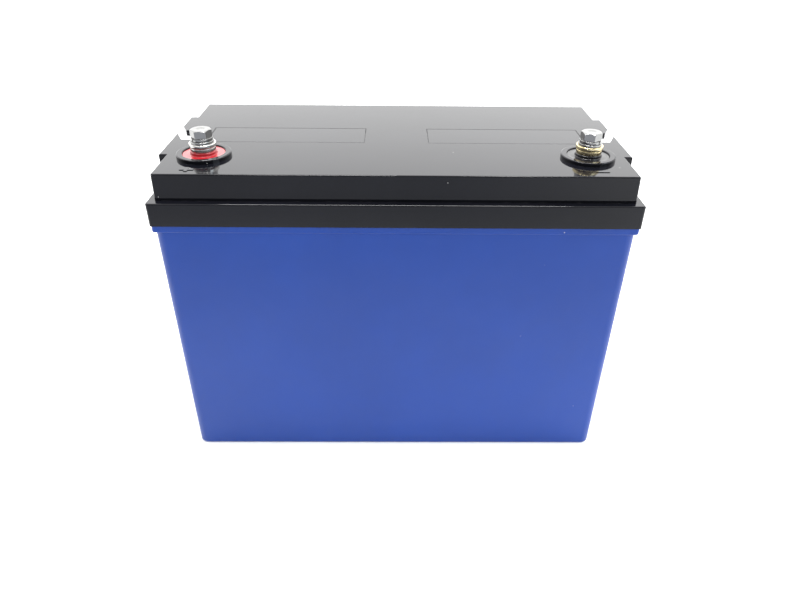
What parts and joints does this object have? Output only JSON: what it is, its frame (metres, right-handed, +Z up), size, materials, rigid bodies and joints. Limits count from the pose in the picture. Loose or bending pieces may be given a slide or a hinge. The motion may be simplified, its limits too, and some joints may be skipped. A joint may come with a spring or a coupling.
{
  "type": "battery pack",
  "caption": "Lithium iron phosphate battery pack: tapered moulded case, stepped lid with handle slots, bolt terminals, prismatic cells and busbars inside.",
  "frame": {"origin": "centre of the case's underside, on the surface the pack stands on", "axes": "+X along the lid from the positive to the negative terminal, +Y towards the back, +Z up"},
  "size_m": [0.33, 0.172, 0.2536],
  "materials": {
    "bolt_chrome": "bright zinc-nickel plate",
    "brass_post": "machined brass",
    "cable_black": "silicone insulation",
    "cable_red": "silicone insulation",
    "case_blue": "satin moulded ABS",
    "cell_aluminium": "rolled aluminium",
    "cell_wrap": "drawn aluminium can",
    "chip_black": "moulded package",
    "circuit_board": "solder mask over glass epoxy",
    "connector_white": "nylon housing",
    "copper": "bare copper bar",
    "epoxy_board": "glass-epoxy sheet",
    "foam": "closed-cell foam",
    "gasket_plastic": "moulded insulator",
    "gasket_rubber": "cured sealant bead",
    "heatsink": "milled aluminium",
    "lid_black": "high-gloss moulded ABS",
    "seal_black": "gloss black moulding",
    "seal_red": "gloss red moulding",
    "strip_black": "gloss moulded ABS",
    "tin_plate": "bright tin plate",
    "winding": "separator-wrapped winding",
    "wire_black": "silicone insulation",
    "zinc_steel": "zinc-plated steel"
  },
  "bodies": {
    "root": {"balance_connector": "connector_white", "balance_harness": "wire_black", "base_pad": "foam", "bms_board": "circuit_board", "bms_heatsink": "heatsink", "bms_mosfets": "chip_black", "bms_screws": "zinc_steel", "bms_tray": "epoxy_board", "busbar_link_1": "copper", "busbar_link_2": "copper", "busbar_link_3": "copper", "busbar_negative_end": "copper", "busbar_nuts": "zinc_steel", "busbar_positive_end": "copper", "cable_lugs": "tin_plate", "case": "case_blue", "cell_1": "cell_wrap", "cell_2": "cell_wrap", "cell_3": "cell_wrap", "cell_4": "cell_wrap", "cell_5": "cell_wrap", "cell_6": "cell_wrap", "cell_7": "cell_wrap", "cell_8": "cell_wrap", "cell_cap_plates": "cell_aluminium", "cell_negative_posts": "cell_aluminium", "cell_positive_posts": "cell_aluminium", "cell_post_gaskets": "gasket_plastic", "cell_safety_vents": "cell_aluminium", "cell_spacers": "epoxy_board", "cell_windings": "winding", "compression_straps": "zinc_steel", "cover_strip_left": "strip_black", "cover_strip_right": "strip_black", "end_plate_left": "epoxy_board", "end_plate_right": "epoxy_board", "foam_front": "foam", "foam_left": "foam", "foam_rear": "foam", "foam_right": "foam", "lid": "lid_black", "lid_gasket": "gasket_rubber", "negative_cable": "cable_black", "negative_lock_nut": "zinc_steel", "negative_seal": "seal_black", "negative_terminal": "brass_post", "output_cable": "cable_black", "positive_cable": "cable_red", "positive_lock_nut": "zinc_steel", "positive_seal": "seal_red", "positive_terminal": "tin_plate"},
    "positive_washers": {"positive_flat_washer": "bolt_chrome", "positive_spring_washer": "bolt_chrome"},
    "positive_bolt": {"positive_bolt": "bolt_chrome"},
    "negative_washers": {"negative_flat_washer": "bolt_chrome", "negative_spring_washer": "bolt_chrome"},
    "negative_bolt": {"negative_bolt": "bolt_chrome"}
  },
  "joints": [
    {"name": "positive_washers_lift", "type": "slide", "parent": "root", "child": "positive_washers", "axis": [0, 0, 1], "range_m": [0, 0.0122]},
    {"name": "positive_bolt_turn", "type": "hinge", "parent": "positive_washers", "child": "positive_bolt", "pos_m": [-0.1329, -0.0448, 0.2483], "axis": [0, 0, 1], "range_deg": [0, 3520]},
    {"name": "negative_washers_lift", "type": "slide", "parent": "root", "child": "negative_washers", "axis": [0, 0, 1], "range_m": [0, 0.0122]},
    {"name": "negative_bolt_turn", "type": "hinge", "parent": "negative_washers", "child": "negative_bolt", "pos_m": [0.1329, -0.0448, 0.2483], "axis": [0, 0, 1], "range_deg": [0, 3520]}
  ],
  "couplings": [
    {"joint": "positive_bolt_turn", "follows": "positive_washers_lift", "rad_per_m": 5026.5},
    {"joint": "negative_bolt_turn", "follows": "negative_washers_lift", "rad_per_m": 5026.5}
  ]
}
